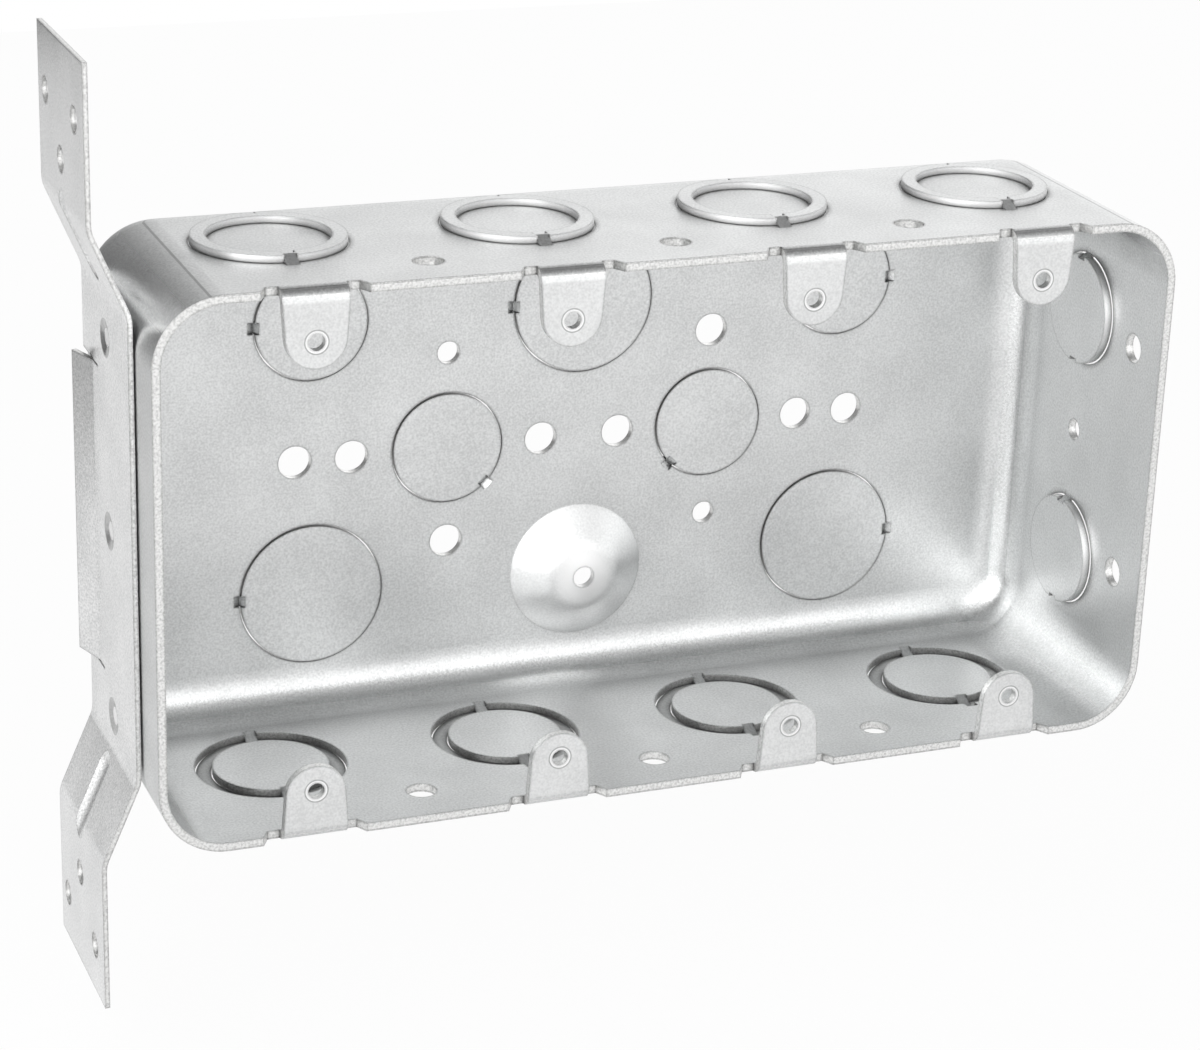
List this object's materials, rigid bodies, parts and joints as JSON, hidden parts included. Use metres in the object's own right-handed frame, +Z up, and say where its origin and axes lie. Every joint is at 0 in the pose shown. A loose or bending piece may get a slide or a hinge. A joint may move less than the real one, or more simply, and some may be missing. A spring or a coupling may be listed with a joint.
{
  "type": "four gang switch box",
  "caption": "Wide drawn sheet steel switch box, open in front, with folded screw tabs, round knockouts, a ground dome and an offset stud bracket spot welded to one end.",
  "frame": {"origin": "middle of the back wall's outside face", "axes": "+X towards the free end, -X towards the stud bracket, +Y out of the back, -Y out of the open front, +Z up"},
  "size_m": [0.2026, 0.0557, 0.1738],
  "materials": {
    "galvanised_box": "satin galvanised sheet",
    "galvanised_bracket": "satin galvanised sheet"
  },
  "bodies": {
    "root": {"switch_box": "galvanised_box", "mounting_bracket": "galvanised_bracket"}
  },
  "joints": []
}
